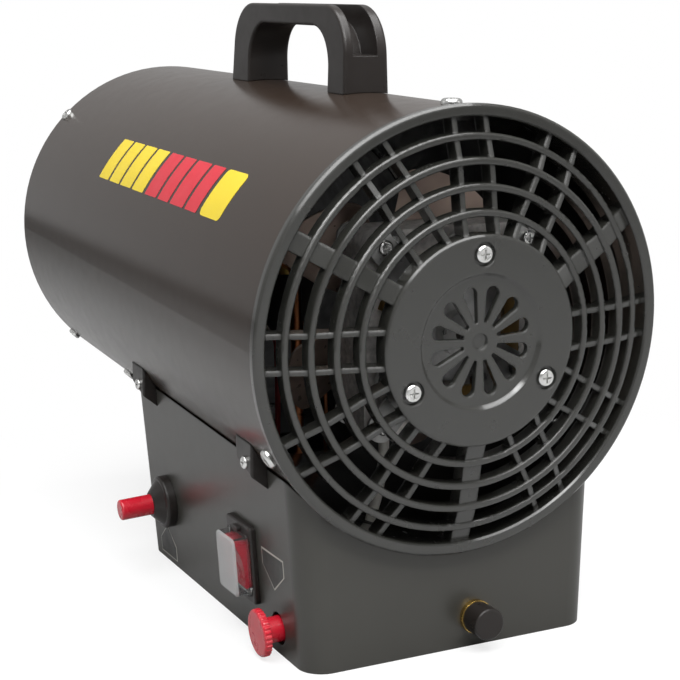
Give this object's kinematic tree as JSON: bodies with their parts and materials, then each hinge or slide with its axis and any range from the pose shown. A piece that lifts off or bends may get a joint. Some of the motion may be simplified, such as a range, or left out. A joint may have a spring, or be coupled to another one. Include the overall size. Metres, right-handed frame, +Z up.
{
  "type": "forced air heater",
  "caption": "Portable gas forced air heater: a sheet-metal barrel with an inlet grille, fan, motor and burner on a box base with push buttons, rocker switch and carrying handle.",
  "frame": {"origin": "on the floor, at the middle of the base's bottom edge", "axes": "+Z up, +Y to the inlet grille and gas inlet, -Y to the hot outlet, +X to the side with the buttons and the switch"},
  "size_m": [0.2026, 0.4061, 0.2986],
  "materials": {
    "barrel_paint": "satin",
    "base_paint": "satin",
    "galvanised": "satin",
    "burner_steel": "satin",
    "screw_zinc": "polished",
    "brass": "satin",
    "copper": "satin",
    "fan_metal": "satin",
    "black_plastic": "matte",
    "grille_plastic": "satin",
    "red_plastic": "gloss",
    "clear_plastic": "clear gloss",
    "coil_tape": "matte",
    "stator_steel": "matte",
    "ceramic": "satin",
    "lead_red": "matte",
    "lead_white": "matte",
    "rubber_black": "matte"
  },
  "bodies": {
    "frame": {"outer_casing": "barrel_paint", "outlet_ring": "galvanised", "combustion_tube": "burner_steel", "outlet_guard": "burner_steel", "tube_spacers": "galvanised", "inlet_grille": "grille_plastic", "grille_screws": "screw_zinc", "casing_screws": "screw_zinc", "motor_mount_screws": "screw_zinc", "handle": "black_plastic", "handle_screws": "screw_zinc", "base_housing": "base_paint", "bottom_plate": "base_paint", "bottom_screws": "screw_zinc", "rear_right_lug": "black_plastic", "front_right_lug": "black_plastic", "rear_left_lug": "black_plastic", "front_left_lug": "black_plastic", "lug_screws": "screw_zinc", "motor_stator": "stator_steel", "motor_coils": "coil_tape", "motor_rear_bracket": "galvanised", "motor_front_bracket": "galvanised", "motor_bearings": "galvanised", "motor_screws": "screw_zinc", "burner_bracket": "burner_steel", "burner_cup": "burner_steel", "flame_plate": "burner_steel", "gas_jet": "brass", "electrode_insulator": "ceramic", "electrode_rod": "burner_steel", "overheat_thermostat": "burner_steel", "igniter_body": "black_plastic", "igniter_collar": "black_plastic", "igniter_spring": "burner_steel", "switch_body": "black_plastic", "switch_cover": "clear_plastic", "switch_terminals": "brass", "valve_body": "brass", "valve_bracket": "galvanised", "valve_spring": "burner_steel", "gas_inlet_fitting": "brass", "inlet_nut": "brass", "inlet_pipe": "copper", "burner_pipe": "copper", "ignition_lead": "lead_red", "thermocouple": "copper", "motor_lead": "lead_white", "wire_grommet": "rubber_black", "terminal_block": "ceramic", "supply_lead": "lead_white", "cable_bushing": "rubber_black"},
    "fan_rotor": {"rotor": "stator_steel", "motor_shaft": "burner_steel", "fan": "fan_metal", "fan_nut": "burner_steel"},
    "igniter_push": {"igniter_button": "red_plastic"},
    "valve_push": {"valve_button": "red_plastic"},
    "switch_rocker": {"rocker": "red_plastic"},
    "cap_body": {"inlet_cap": "black_plastic"}
  },
  "joints": [
    {"name": "fan_spin", "type": "hinge", "parent": "frame", "child": "fan_rotor", "pos_m": [0, 0.0582, 0.15075], "axis": [0, -0.9985, 0.0556], "continuous": true},
    {"name": "igniter_press", "type": "slide", "parent": "frame", "child": "igniter_push", "axis": [-0.9985, 0, 0.0541], "range_m": [0, 0.01], "stiffness_N_per_m": 600, "deforming": ["igniter_spring"]},
    {"name": "valve_press", "type": "slide", "parent": "frame", "child": "valve_push", "axis": [-0.9985, 0, 0.0541], "range_m": [0, 0.006], "stiffness_N_per_m": 1200, "deforming": ["valve_spring"]},
    {"name": "rocker_tilt", "type": "hinge", "parent": "frame", "child": "switch_rocker", "pos_m": [0.07486, 0.0409, 0.0362], "axis": [0, -1, 0], "range_deg": [0, 16]},
    {"name": "cap_lift_off", "type": "slide", "parent": "frame", "child": "cap_body", "axis": [0, 1, 0], "range_m": [0, 0.012]}
  ]
}
